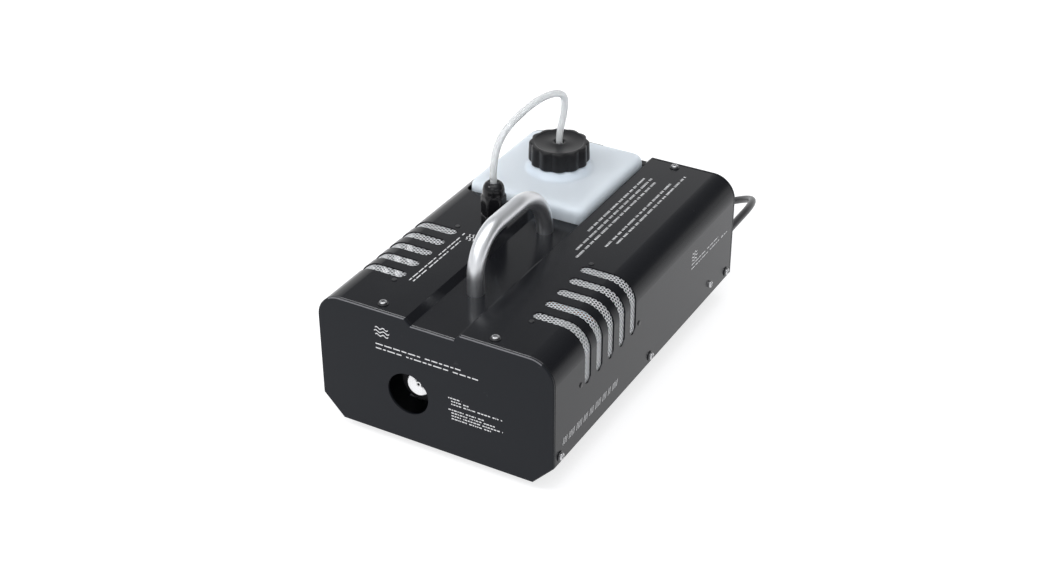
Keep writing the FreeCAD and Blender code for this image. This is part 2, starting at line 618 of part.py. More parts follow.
def make_pump():
    """Solenoid piston pump lying along Y: coil, steel yoke, cylinder, piston, spring, mounts."""
    x, z = PUMP_X, PUMP_Z
    y0, y1 = PUMP_Y0, PUMP_Y1
    barrel = rod(V(x, y0, z), Y, 9.0, y1 - y0)
    bore = rod(V(x, y0 + 8, z), Y, PISTON_R + 0.05, y1 - y0 - 16)
    ways = rod(V(x, y0 - 1, z), Y, 1.5, y1 - y0 + 2)
    ends = [rod(V(x, y0 - 12, z), Y, 4.0, 13), rod(V(x, y1 - 1, z), Y, 4.0, 13)]
    body = joined([barrel] + ends)
    through = rod(V(x, y0 - 20, z), Y, 1.5, y1 - y0 + 40)
    save("pump_cylinder", less(body, [bore, through, ways]))
    ca, cb = y0 + 16, y1 - 16
    coil = rod(V(x, ca, z), Y, 18.0, cb - ca)
    flanges = [rod(V(x, yy, z), Y, 20.0, 2.0) for yy in (ca, cb - 2)]
    save("pump_coil", joined([coil] + flanges).cut(rod(V(x, ca - 1, z), Y, 9.1, 60)))
    yoke = box(x - 22, x + 22, ca - 2.0, cb + 2.0, z - 22.5, z + 22.5)
    yoke = yoke.cut(box(x - 23, x + 23, ca, cb, z - 20.5, z + 20.5))
    save("pump_yoke", yoke.cut(rod(V(x, ca - 5, z), Y, 9.1, 80)))
    piston = rod(V(x, y0 + 30, z), Y, PISTON_R, 24)
    save("pump_piston", piston.cut(rod(V(x, y0 + 20, z), Y, 1.2, 60)))
    save("pump_spring", pipe_ring(V(x, y0 + 8.4, z), Y, 3.6, 2.6, 21.2))
    mounts = []
    for yy in (ca - 2.0, cb + 2.0):
        side = -1 if yy < (ca + cb) / 2 else 1
        a, b = sorted((yy, yy + side * 3.0))
        block = box(x - 16, x + 16, a, b, BASE_Z + SHEET_T, z + 6)
        mounts.append(block.cut(rod(V(x, a - 1, z), Y, 9.2, 6)))
    save("pump_mounts", *mounts)


def make_pipes():
    """Suction hose inside the housing and the pressure pipe from pump to heater."""
    gx, gy = GLAND_X, GLAND_Y
    low = TOP_Z - 32.0
    y_in = PUMP_Y0 - 12.0
    run = [V(gx, gy, HOSE_ROUTE[0].z), V(gx, gy, low), V(PUMP_X, gy, low), V(PUMP_X, y_in - 26, low),
           V(PUMP_X, y_in - 26, PUMP_Z), V(PUMP_X, y_in, PUMP_Z)]
    save("inner_hose", sweep(rounded_path(run, [12.0] * 4), HOSE_R, HOSE_BORE))
    y_out, y_heat = PUMP_Y1 + 12.0, HEATER_Y1 + 12.0
    turn = y_out + 16.0
    run = [V(PUMP_X, y_out, PUMP_Z), V(PUMP_X, turn, PUMP_Z), V(OUTLET_X, turn, OUTLET_Z),
           V(OUTLET_X, y_heat, OUTLET_Z)]
    save("pressure_pipe", sweep(rounded_path(run, [5.0] * 2), 2.0, 1.2))


# ---- control board ---------------------------------------------------------------------------

def make_board():
    x0, x1 = 33.0, 97.0
    y0, y1 = FRONT_Y + 228.0, FRONT_Y + 322.0
    z0 = BASE_Z + SHEET_T + 8.0
    posts, holes = [], []
    for x in (x0 + 5, x1 - 5):
        for y in (y0 + 5, y1 - 5):
            posts.append(rod(V(x, y, BASE_Z + SHEET_T), Z, 3.0, 8.0))
            posts.append(rod(V(x, y, z0 + 1.6), Z, 2.6, 1.6))
            holes.append(rod(V(x, y, z0 - 1), Z, 1.6, 4))
    top = z0 + 1.6
    save("control_board", less(box(x0, x1, y0, y1, z0, top), holes))
    parts = [box(x0 + 8, x0 + 27, y0 + 14, y0 + 30, top, top + 15),
             box(x0 + 32, x0 + 56, y0 + 14, y0 + 42, top, top + 22),
             rod(V(x0 + 14, y0 + 44, top), Z, 5.0, 13), rod(V(x0 + 26, y0 + 48, top), Z, 4.0, 10),
             box(x0 + 10, x0 + 18, y0 + 58, y0 + 66, top, top + 3.5)]
    for i in range(4):
        b = box(x0 + 10 + 11 * i, x0 + 20.5 + 11 * i, y1 - 22, y1 - 12, top, top + 11)
        parts.append(b.cut(rod(V(x0 + 15.2 + 11 * i, y1 - 17, top + 6), Z, 1.8, 6)))
    save("board_parts", *posts, *parts)


# ---- rear fittings ---------------------------------------------------------------------------

ROCKER_TILT = 10.0
ROCKER_R = 21.0


def make_switch():
    x, z, y = SWITCH_X, SWITCH_Z, REAR_Y
    bezel = box(x - 12.5, x + 12.5, y, y + 2.0, z - 15.5, z + 15.5)
    bezel = bezel.makeFillet(1.2, [e for e in bezel.Edges if e.BoundBox.YMin > y + 1.9])
    shell = box(x - 10.8, x + 10.8, y - 24.0, y, z - 13.8, z + 13.8)
    well = box(x - 8.6, x + 8.6, y - 12.0, y + 5.0, z - 12.4, z + 12.4)
    tabs = [box(x - 2.4, x + 2.4, y - 32.0, y - 23.0, z + dz - 0.4, z + dz + 0.4) for dz in (-8, 0, 8)]
    save("switch_body", joined([bezel, shell] + tabs).cut(well))
    pivot = V(x, y - 4.0, z)
    rocker = box(x - 8.2, x + 8.2, y - 9.0, y + 6.0, z - 11.6, z + 11.6)
    swell = rod(V(x - 9, y + 3.5 + ROCKER_R, z), X, ROCKER_R, 18)
    rocker = rocker.cut(swell).common(rod(V(x - 9, pivot.y, z), X, 11.9, 18))
    rocker.rotate(pivot, X, ROCKER_TILT)
    save("switch_rocker", rocker)


def make_fuse():
    x, z, y = FUSE_X, FUSE_Z, REAR_Y
    holder = joined([rod(V(x, y, z), Y, 8.0, 2.5), rod(V(x, y - 30, z), Y, 6.3, 30)])
    holder = holder.cut(rod(V(x, y - 26, z), Y, 4.6, 40))
    save("fuse_holder", holder)
    knob = joined([rod(V(x, y + 2.9, z), Y, 7.0, 6.1), rod(V(x, y - 5, z), Y, 4.2, 8.5)])
    knob = knob.cut(box(x - 5.0, x + 5.0, y + 7.4, y + 10, z - 0.7, z + 0.7))
    knob = knob.cut(rod(V(x, y - 6, z), Y, 2.7, 6.0))
    save("fuse_cap", knob)
    save("fuse_link", rod(V(x, y - 25, z), Y, 2.5, 20.0 + 4.0))


def make_remote_socket():
    x, z, y = SOCKET_X, SOCKET_Z, REAR_Y
    shell = joined([rod(V(x, y, z), Y, 10.5, 2.0), rod(V(x, y - 14, z), Y, 8.0, 14)])
    shell = shell.cut(rod(V(x, y - 9, z), Y, 6.9, 20))
    insert = []
    for i in range(5):
        a = math.radians(180 + 45 * i)
        insert.append(rod(V(x + 4.4 * math.cos(a), y - 12, z + 4.4 * math.sin(a)), Y, 1.0, 9))
    save("remote_socket", less(shell, insert))


def make_cord():
    """Mains cord: gland, tapered boot, free run to the floor, round coil, tie and earthed plug."""
    x, z, y = CORD_X, CORD_Z, REAR_Y
    grip = joined([hexagon(V(x, y, z), Y, 21.0, 6.0), rod(V(x, y - 12, z), Y, 8.0, 12)])
    lock = hexagon(V(x, y - PLATE_T - 5, z), Y, 21.0, 5.0)
    lock = lock.cut(rod(V(x, y - 12, z), Y, 8.05, 14))
    save("cord_gland", grip.cut(rod(V(x, y - 13, z), Y, CORD_R, 30)), lock)
    boot = cone(V(x, y + 6, z), Y, 7.6, 5.4, 30)
    cuts = [rod(V(x, y, z), Y, CORD_R, 50)]
    for i in range(4):
        cuts.append(pipe_ring(V(x, y + 11 + 6 * i, z), Y, 9.0, 5.3 - 0.15 * i, 2.2))
    save("cord_boot", less(boot, cuts))
    path = free_line("mains cord", CORD_ROUTE)
    print("mains cord free length", round(path.Length, 1))
    save("mains_cord", sweep(path, CORD_R))
    c = V(COIL_X, COIL_Y, 0)
    ring_out, ring_in = COIL_MID_R + CORD_R, COIL_MID_R - CORD_R
    ring = pipe_ring(c, Z, ring_out, ring_in, COIL_H)
    rims = [e for e in ring.Edges if e.BoundBox.ZLength < 0.1]
    save("cord_coil", ring.makeFillet(CORD_R * 0.9, rims))
    band = pipe_ring(c, Z, ring_out + 1.5, ring_in - 1.5, COIL_H + 1.5)
    band = band.common(box(COIL_X - 5, COIL_X + 5, COIL_Y - 60, COIL_Y, 0, COIL_H + 2))
    save("coil_tie", band.cut(pipe_ring(c - Z, Z, ring_out + 0.1, ring_in - 0.1, COIL_H + 1.1)))
    path = free_line("plug end", PLUG_ROUTE)
    print("plug end length", round(path.Length, 1))
    save("plug_lead", sweep(path, CORD_R))
    make_plug()


PLUG_Y = COIL_Y + 2.0
PLUG_X = COIL_X - COIL_MID_R - 28.0
CORD_ROUTE = [
    V(CORD_X, REAR_Y, CORD_Z), V(CORD_X, REAR_Y + 56, CORD_Z + 1), V(CORD_X, REAR_Y + 104, CORD_Z + 1),
    V(CORD_X - 16, REAR_Y + 142, CORD_Z - 14), V(CORD_X - 55, REAR_Y + 158, CORD_Z - 38),
    V(CORD_X - 100, REAR_Y + 150, CORD_R + 3), V(COIL_X + 1, COIL_Y + COIL_MID_R + 2 * CORD_R + 0.5, CORD_R),
]
PLUG_ROUTE = [
    V(COIL_X - 4, COIL_Y + COIL_MID_R + 2 * CORD_R + 0.5, COIL_H - CORD_R), V(COIL_X - 32, COIL_Y + 58, 32.0),
    V(COIL_X - 60, COIL_Y + 52, 24.0), V(PLUG_X, PLUG_Y + 34, 19.5), V(PLUG_X, PLUG_Y, 19.5),
]


def make_plug():
    """Earthed two-pin plug lying on its side, pins towards the front."""
    x, y, z = PLUG_X, PLUG_Y, 19.5
    body = joined([rod(V(x, y - 36, z), Y, 19.0, 16), cone(V(x, y - 20, z), Y, 19.0, 9.0, 12),
                   cone(V(x, y - 8, z), Y, 9.0, 5.6, 28)])
    body = body.cut(rod(V(x, y - 8, z), Y, CORD_R, 60))
    for sx in (-1, 1):
        body = body.cut(box(x - 3, x + 3, y - 37, y - 19, z + sx * 17 - 1.5, z + sx * 17 + 1.5))
    save("plug_body", body)
    pins = []
    for sx in (-1, 1):
        pin = rod(V(x + sx * 9.5, y - 36 - 19, z), Y, 2.4, 19)
        tip = [e for e in pin.Edges if e.BoundBox.YMax < y - 54.9]
        pins.append(pin.makeFillet(1.6, tip))
    save("plug_pins", *pins)


def main():
    holes = fastener_holes()
    make_fasteners()
    make_front_plate(holes)
    make_rear_plate(holes)
    make_base_tray(holes)
    make_cover(holes)
    make_meshes(holes)
    make_feet()
    make_handle()
    make_tray()
    make_tank()
    make_cap()
    make_hose()
    make_gland()
    make_nozzle()
    make_heater()
    make_pump()
    make_pipes()
    make_board()
    make_switch()
    make_fuse()
    make_remote_socket()
    make_cord()
    os.makedirs("parts", exist_ok=True)
    for name, shape in OUT.items():
        if not shape.isValid() or not shape.Solids:
            print("CHECK", name, "valid", shape.isValid(), "solids", len(shape.Solids))
        shape.exportStep(os.path.join("parts", name + ".step"))
    print(len(OUT), "nodes")


main()
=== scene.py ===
import json
import math
import random

import bpy
from mathutils import Matrix, Vector


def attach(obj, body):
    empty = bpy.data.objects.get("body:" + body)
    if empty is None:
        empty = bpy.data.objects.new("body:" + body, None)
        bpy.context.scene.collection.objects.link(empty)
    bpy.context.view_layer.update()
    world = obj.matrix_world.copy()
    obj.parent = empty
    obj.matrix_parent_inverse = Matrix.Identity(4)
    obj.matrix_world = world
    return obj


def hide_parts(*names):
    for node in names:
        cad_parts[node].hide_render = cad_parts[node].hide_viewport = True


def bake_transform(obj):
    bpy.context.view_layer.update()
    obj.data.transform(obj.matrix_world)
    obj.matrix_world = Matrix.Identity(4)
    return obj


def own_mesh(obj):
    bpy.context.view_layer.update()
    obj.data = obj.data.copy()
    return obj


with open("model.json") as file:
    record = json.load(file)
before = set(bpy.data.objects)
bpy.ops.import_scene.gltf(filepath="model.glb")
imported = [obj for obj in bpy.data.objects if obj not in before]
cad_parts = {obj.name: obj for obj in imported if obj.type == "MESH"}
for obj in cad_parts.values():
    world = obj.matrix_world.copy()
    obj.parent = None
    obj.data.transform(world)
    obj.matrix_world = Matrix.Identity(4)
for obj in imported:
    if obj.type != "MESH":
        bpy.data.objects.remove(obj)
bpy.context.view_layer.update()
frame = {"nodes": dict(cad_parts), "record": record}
nodes = frame["nodes"]
scene = bpy.context.scene

# Sizes and places are in millimetres, and MM turns them into the frame's metres. The cords' routes
# are in metres already.
MM = 0.001
Y_FRONT = -192.5        # front plate's face
TOP = 138.0             # cover's top face
SIDE = 120.0            # cover's side face
SHEET = 1.5             # cover's thickness
CORNER = 24.0           # outside radius of the cover's top corners
SLOTS = 5
SLOT_FIRST = 62.0       # first slot's distance from the front face
SLOT_PITCH = 21.9
TANK_AT = (-38.0, 105.0)
TANK_HALF = (64.0, 68.5)
CAP_AT = (-37.0, 105.5)
GLAND_AT = (-43.5, -11.0)
INK = 0.06              # how far the printing stands off its face
PRINT_H = 1.2           # height of a line of small print


# ---- camera ----------------------------------------------------------------------------------

def make_camera():
    """Camera that sees the machine from its front right, from above."""
    data = bpy.data.cameras.new("camera")
    data.sensor_width = 36.0
    data.sensor_fit = "HORIZONTAL"
    data.lens = 59.72
    data.clip_end = 50.0
    cam = bpy.data.objects.new("camera", data)
    scene.collection.objects.link(cam)
    right = Vector((0.87068971, 0.49181807, -0.00379606))
    up = Vector((-0.25552006, 0.45892764, 0.85093767))
    back = Vector((0.42024864, -0.73993271, 0.52525296))
    turn = Matrix((right, up, back)).transposed().to_4x4()
    cam.matrix_world = Matrix.Translation((0.686289, -1.239288, 0.951541)) @ turn
    scene.camera = cam


# ---- materials -------------------------------------------------------------------------------

def noise(tree, vector, scale, detail):
    """Noise texture node over the given coordinates."""
    node = tree.nodes.new("ShaderNodeTexNoise")
    node.inputs["Scale"].default_value = scale
    node.inputs["Detail"].default_value = detail
    tree.links.new(vector, node.inputs["Vector"])
    return node.outputs["Fac"]


def mix_color(tree, factor, low, high):
    """Blend two colours by a factor; each colour is a tuple or another node's output."""
    node = tree.nodes.new("ShaderNodeMix")
    node.data_type = "RGBA"
    for socket, color in (("A", low), ("B", high)):
        if isinstance(color, tuple):
            node.inputs[socket].default_value = color + (1,)
        else:
            tree.links.new(color, node.inputs[socket])
    tree.links.new(factor, node.inputs["Factor"])
    return node.outputs["Result"]


def uneven_roughness(tree, factor, rough, vary):
    """Roughness that wanders either side of its mean."""
    spread = tree.nodes.new("ShaderNodeMapRange")
    spread.inputs["To Min"].default_value = max(rough - vary, 0.02)
    spread.inputs["To Max"].default_value = rough + vary
    tree.links.new(factor, spread.inputs["Value"])
    return spread.outputs["Result"]


def worn_spots(tree, vector, amount):
    """Sparse spots of wear, up to the given amount."""
    cut = tree.nodes.new("ShaderNodeMapRange")
    cut.inputs["From Min"].default_value = 0.70
    cut.inputs["From Max"].default_value = 0.78
    cut.inputs["To Max"].default_value = amount
    tree.links.new(noise(tree, vector, 95.0, 8.0), cut.inputs["Value"])
    return cut.outputs["Result"]


def painted_chamfer_highlight(tree, normal):
    """Painted highlight mask: one on faces that slope up and forwards at 45 degrees, nought elsewhere."""
    facing = tree.nodes.new("ShaderNodeVectorMath")
    facing.operation = "DOT_PRODUCT"
    facing.inputs[1].default_value = (0.0, -0.7071, 0.7071)
    tree.links.new(normal, facing.inputs[0])
    near = tree.nodes.new("ShaderNodeMath")
    near.operation = "GREATER_THAN"
    near.inputs[1].default_value = 0.93
    tree.links.new(facing.outputs["Value"], near.inputs[0])
    return near.outputs["Value"]


def material(name, color, rough=0.4, metal=0.0, grain=600.0, bump=0.05, vary=0.08, tint=0.06,
             stretch=(1, 1, 1), wear=0.0, wear_color=(0.3, 0.3, 0.3), edge=None, **sockets):
    """Surface with fine grain, uneven roughness and soft colour variation.

    `wear` adds sparse spots in another colour, and `edge` is the colour of a painted highlight on
    chamfered front edges.
    """
    m = bpy.data.materials.new(name)
    m.use_nodes = True
    tree = m.node_tree
    b = tree.nodes["Principled BSDF"]
    b.inputs["Metallic"].default_value = metal
    for key, value in sockets.items():
        b.inputs[key.replace("_", " ")].default_value = value
    coord = tree.nodes.new("ShaderNodeTexCoord")
    place = tree.nodes.new("ShaderNodeMapping")
    place.inputs["Scale"].default_value = stretch
    tree.links.new(coord.outputs["Object"], place.inputs["Vector"])
    vector = place.outputs["Vector"]
    fine = noise(tree, vector, grain, 3.0)
    wide = noise(tree, vector, 18.0, 4.0)
    tree.links.new(uneven_roughness(tree, wide, rough, vary), b.inputs["Roughness"])
    darker = tuple(c * (1 - tint) for c in color)
    lighter = tuple(min(c * (1 + tint), 1) for c in color)
    finish = mix_color(tree, wide, darker, lighter)
    if wear:
        finish = mix_color(tree, worn_spots(tree, vector, wear), finish, wear_color)
    # Painted highlight: the lighter `edge` colour on chamfered front edges stands in for a lamp's glint.
    if edge:
        finish = mix_color(tree, painted_chamfer_highlight(tree, coord.outputs["Normal"]), finish, edge)
    tree.links.new(finish, b.inputs["Base Color"])
    rise = tree.nodes.new("ShaderNodeBump")
    rise.inputs["Strength"].default_value = bump
    rise.inputs["Distance"].default_value = 0.0004
    tree.links.new(fine, rise.inputs["Height"])
    tree.links.new(rise.outputs["Normal"], b.inputs["Normal"])
    return m


FINISHES = {
    # In the two black metals, `edge` is the colour of a painted highlight on chamfered front edges.
    "satin_black_metal": dict(color=(0.0075, 0.0088, 0.0118), rough=0.34, grain=1500, bump=0.08,
                              vary=0.05, wear=0.06, edge=(0.13, 0.13, 0.14), Specular_IOR_Level=0.15),
    "gloss_black_metal": dict(color=(0.008, 0.0085, 0.0105), rough=0.18, grain=1100, bump=0.03,
                              vary=0.05, wear=0.04, edge=(0.07, 0.07, 0.075), Specular_IOR_Level=0.20),
    "bare_steel_mesh": dict(color=(0.70, 0.71, 0.73), rough=0.40, metal=0.25, grain=900, bump=0.1),
    "black_fasteners": dict(color=(0.015, 0.015, 0.017), rough=0.35, grain=1200, bump=0.08),
    "plated_screws": dict(color=(0.50, 0.50, 0.51), rough=0.24, metal=1.0, grain=1500, bump=0.06,
                          wear=0.3, wear_color=(0.25, 0.24, 0.22)),
    "black_rubber": dict(color=(0.022, 0.022, 0.024), rough=0.62, grain=1800, bump=0.25, tint=0.15),
    "polished_aluminium": dict(color=(0.80, 0.81, 0.83), rough=0.36, metal=1.0, grain=420,
                               bump=0.02, vary=0.03, tint=0.02, wear=0.08, wear_color=(0.6, 0.6, 0.61)),
    "zinc_sheet": dict(color=(0.52, 0.54, 0.56), rough=0.40, metal=1.0, grain=70, bump=0.04, tint=0.12),
    "grey_felt": dict(color=(0.16, 0.16, 0.17), rough=0.95, grain=2500, bump=0.6, tint=0.2),
    "clear_hose": dict(color=(0.95, 0.97, 0.98), rough=0.16, grain=300, bump=0.02, vary=0.05, tint=0.01,
                       Transmission_Weight=0.55, IOR=1.30, Subsurface_Weight=0.6, Subsurface_Scale=0.006,
                       Subsurface_Radius=(1.0, 1.0, 1.0)),
    "sintered_bronze": dict(color=(0.42, 0.30, 0.15), rough=0.6, metal=1.0, grain=2400, bump=0.6),
    "black_nylon": dict(color=(0.006, 0.006, 0.007), rough=0.17, grain=1400, bump=0.05, vary=0.06,
                        Specular_IOR_Level=0.30),
    "polished_steel": dict(color=(0.74, 0.74, 0.75), rough=0.14, metal=1.0, grain=900, bump=0.03),
    "dark_steel": dict(color=(0.06, 0.06, 0.065), rough=0.38, metal=0.8, grain=700, bump=0.12, tint=0.2),
    "cast_aluminium": dict(color=(0.55, 0.55, 0.56), rough=0.5, metal=1.0, grain=800, bump=0.35),
    "mineral_wool": dict(color=(0.66, 0.63, 0.54), rough=0.95, grain=900, bump=0.9, tint=0.15,
                         stretch=(1, 4, 1)),
    "ceramic_black": dict(color=(0.05, 0.05, 0.05), rough=0.45, grain=1500, bump=0.1),
    "brass_fitting": dict(color=(0.58, 0.42, 0.17), rough=0.28, metal=1.0, grain=700, bump=0.06),
    "white_nylon": dict(color=(0.72, 0.71, 0.66), rough=0.45, grain=900, bump=0.05),
    "copper_pipe": dict(color=(0.66, 0.31, 0.18), rough=0.3, metal=1.0, grain=500, bump=0.05, tint=0.15),
    "circuit_board": dict(color=(0.03, 0.16, 0.07), rough=0.35, grain=260, bump=0.25, tint=0.25),
    "board_components": dict(color=(0.07, 0.08, 0.12), rough=0.4, grain=900, bump=0.06, tint=0.2),
    "gloss_black_plastic": dict(color=(0.014, 0.014, 0.016), rough=0.16, grain=1200, bump=0.03),
    "fuse_glass": dict(color=(0.85, 0.9, 0.9), rough=0.08, grain=300, bump=0.01,
                       Transmission_Weight=0.8, IOR=1.45),
    "black_cord": dict(color=(0.018, 0.018, 0.020), rough=0.38, grain=1600, bump=0.12, tint=0.12),
    "black_tie": dict(color=(0.016, 0.016, 0.017), rough=0.42, grain=1500, bump=0.15),
    "black_cord_plug": dict(color=(0.020, 0.020, 0.022), rough=0.45, grain=2000, bump=0.2),
    "brass_pins": dict(color=(0.72, 0.69, 0.60), rough=0.2, metal=1.0, grain=900, bump=0.04),
    "milky_polyethylene": dict(color=(0.68, 0.76, 0.86), rough=0.36, grain=160, bump=0.05,
                               tint=0.02, Specular_IOR_Level=0.3, Subsurface_Weight=0.8,
                               Subsurface_Scale=0.012, Subsurface_Radius=(1.0, 1.0, 1.0),
                               Transmission_Weight=0.05),
    "black_cap": dict(color=(0.012, 0.012, 0.013), rough=0.30, grain=1400, bump=0.10,
                      Specular_IOR_Level=0.22),
    "white_seal": dict(color=(0.82, 0.82, 0.80), rough=0.6, grain=1200, bump=0.1),
    "white_ink": dict(color=(0.62, 0.62, 0.63), rough=0.5, grain=2500, bump=0.12, tint=0.05),
}
MATS = {name: material(name, **finish) for name, finish in FINISHES.items()}


def dress_nodes():
    """Give every CAD node the finish of its material slot."""
    slots = {s["node"]: s["material_slot"] for s in frame["record"]["subparts"]}
    for name, obj in nodes.items():
        obj.data.materials.clear()
        obj.data.materials.append(MATS[slots[name]])


# ---- mesh helpers ----------------------------------------------------------------------------

def add(name, verts, faces, mat, body, smooth=True, ride=True):
    """New piece from millimetre vertices, in its finish and riding on its body."""
    mesh = bpy.data.meshes.new(name)
    mesh.from_pydata([tuple(c * MM for c in v) for v in verts], [], faces)
    mesh.materials.append(MATS[mat])
    mesh.validate()
    for p in mesh.polygons:
        p.use_smooth = smooth
    obj = bpy.data.objects.new(name, mesh)
    scene.collection.objects.link(obj)
    if ride:
        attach(obj, body)
    return obj


def sharpen(obj, degrees):
    """Mark edges sharper than the angle, so that smooth faces keep crisp corners."""
    mesh = obj.data
    faces = {}
    for p in mesh.polygons:
        for key in p.edge_keys:
            faces.setdefault(key, []).append(p.normal)
    limit = math.cos(math.radians(degrees))
    for e in mesh.edges:
        pair = faces.get(tuple(sorted(e.vertices)), [])
        e.use_edge_sharp = len(pair) == 2 and pair[0].dot(pair[1]) < limit


def loft(rings, close_start=False, close_end=False):
    """Vertices and quads over rings of equal length."""
    n = len(rings[0])
    verts = [v for ring in rings for v in ring]
    faces = []
    for k in range(len(rings) - 1):
        for i in range(n):
            j = (i + 1) % n
            faces.append((k * n + i, k * n + j, (k + 1) * n + j, (k + 1) * n + i))
    if close_start:
        faces.append(tuple(reversed(range(n))))
    if close_end:
        faces.append(tuple(range((len(rings) - 1) * n, len(rings) * n)))
    return verts, faces


def ring_at(centre, radius, z, n, shape=None):
    """Ring about +Z; `shape` scales the radius by angle."""
    out = []
    for i in range(n):
        a = 2 * math.pi * i / n
        r = radius * (shape(a) if shape else 1.0)
        out.append((centre[0] + r * math.cos(a), centre[1] + r * math.sin(a), z))
    return out


def rounded_ring(cx, cy, hx, hy, r, z, per=14):
    """Rounded rectangle ring, anticlockwise from its right-hand side."""
    out = []
    r = min(r, hx, hy)
    for k, (sx, sy) in enumerate(((1, 1), (-1, 1), (-1, -1), (1, -1))):
        for i in range(per):
            a = math.pi / 2 * (k + i / (per - 1))
            out.append((cx + sx * (hx - r) + r * math.cos(a), cy + sy * (hy - r) + r * math.sin(a), z))
    return out


# ---- cords -----------------------------------------------------------------------------------

COIL = (-0.046, 0.2695)
COIL_R = 0.044
CORD_R = 0.004
COIL_RISE = 0.032
CORD_ROUTE = [
    (0.099, 0.1835, 0.052), (0.099, 0.2395, 0.053), (0.099, 0.2875, 0.053), (0.083, 0.3255, 0.038),
    (0.044, 0.3415, 0.014), (-0.001, 0.3335, 0.007), (-0.045, 0.322, 0.004),
]
PLUG_ROUTE = [
    (-0.050, 0.322, 0.036), (-0.078, 0.3275, 0.032), (-0.106, 0.3215, 0.024), (-0.118, 0.3055, 0.0195),
    (-0.118, 0.2715, 0.0195),
]


def spline_curve(name, points, radius):
    """Round cord on a smooth curve through control points in metres."""
    curve = bpy.data.curves.new(name, "CURVE")
    curve.dimensions = "3D"
    curve.resolution_u = 10
    curve.bevel_depth = radius
    curve.bevel_resolution = 5
    curve.use_fill_caps = True
    line = curve.splines.new("NURBS")
    line.points.add(len(points) - 1)
    for p, co in zip(line.points, points):
        p.co = tuple(co) + (1.0,)
    line.order_u = 3
    line.use_endpoint_u = True
    return curve


def coil_points():
    """Control points of the stacked turns, slightly outside the turns' own radius."""
    turns, per = 4, 14
    radius = COIL_R / math.cos(math.pi / per) ** 0.5 * 1.006
    out = []
    for i in range(1, turns * per):
        a = math.pi / 2 + 2 * math.pi * i / per
        z = CORD_R + COIL_RISE * i / (turns * per)
        out.append((COIL[0] + radius * math.cos(a), COIL[1] + radius * math.sin(a), z))
    return out


def make_mains_cord():
    """One cord: the run from the housing, the stacked turns, and the run to the plug."""
    curve = spline_curve("mains_flex", CORD_ROUTE + coil_points() + PLUG_ROUTE, CORD_R)
    curve.materials.append(MATS["black_cord"])
    cord = bpy.data.objects.new("mains_flex", curve)
    scene.collection.objects.link(cord)
    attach(cord, "housing")
    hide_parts("mains_cord", "cord_coil", "plug_lead")
    return cord


def make_plug():
    """Moulded earthed plug with grip ribs, built about its own axis and laid along -Y."""
    profile = [(3.9, 20.0), (5.6, 20.0), (6.2, 15.0), (5.7, 14.2), (6.6, 10.0), (6.1, 9.2), (7.2, 5.0),
               (6.8, 4.2), (8.4, -2.0), (10.5, -8.0), (14.5, -14.0), (17.6, -18.0), (18.9, -21.0),
               (19.0, -24.0), (18.4, -25.0), (18.4, -26.0), (19.0, -27.0), (19.0, -34.8), (18.4, -36.0),
               (16.5, -36.0), (16.0, -35.2), (0.6, -35.2)]
    x, y, z = (c / MM for c in PLUG_ROUTE[-1])
    n = 64
    rings = []
    for r, h in profile:
        ring = []
        for i in range(n):
            a = 2 * math.pi * i / n
            flat = 1.0 - 0.10 * abs(math.sin(a)) ** 6 if -34 < h < -15 else 1.0
            notch = 0.86 if abs(math.cos(a)) < 0.10 and h < -20 and r > 15 else 1.0
            ring.append((x + r * math.cos(a), y + h, z + r * flat * notch * math.sin(a)))
        rings.append(ring)
    verts, faces = loft(rings, close_end=True)
    plug = add("plug_shell", verts, faces, "black_cord_plug", "housing")
    sharpen(plug, 35)
    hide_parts("plug_body")
    return plug


def make_tie():
    """Hook strap laid as a rounded oblong round the coil's turns."""
    half_w, half_h, squareness = 5.1, 19.55, 4.0
    steps = 48
    mid_y = (COIL[1] - COIL_R) / MM
    mid_z = (CORD_R + COIL_RISE / 2) / MM
    section = ((-4.6, 0.15), (-4.6, 1.1), (-4.2, 1.35), (4.2, 1.35), (4.6, 1.1), (4.6, 0.15))
    rings = []
    for k in range(steps + 1):
        a = 2 * math.pi * k / steps
        c, s = math.cos(a), math.sin(a)
        scale = (abs(c) ** squareness + abs(s) ** squareness) ** (-1 / squareness)
        ring = []
        for dx, out in section:
            y = mid_y + (half_w + out) * c * scale
            z = mid_z + (half_h + out) * s * scale
            ring.append((COIL[0] / MM + dx, y, max(z, 0.05)))
        rings.append(ring)
    verts, faces = loft(rings)
    tie = add("coil_strap", verts, faces, "black_tie", "housing")
    sharpen(tie, 40)
    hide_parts("coil_tie")
    return tie


HOSE_ROUTE = [
    (-0.0439, -0.0110, 0.1865), (-0.0439, -0.0100, 0.206), (-0.0430, 0.0055, 0.227),
    (-0.0406, 0.0495, 0.2355), (-0.0386, 0.0875, 0.2335), (-0.0368, 0.1160, 0.2225),
    (-0.0368, 0.1160, 0.203), (-0.0370, 0.1055, 0.184), (-0.0370, 0.1055, 0.174),
]


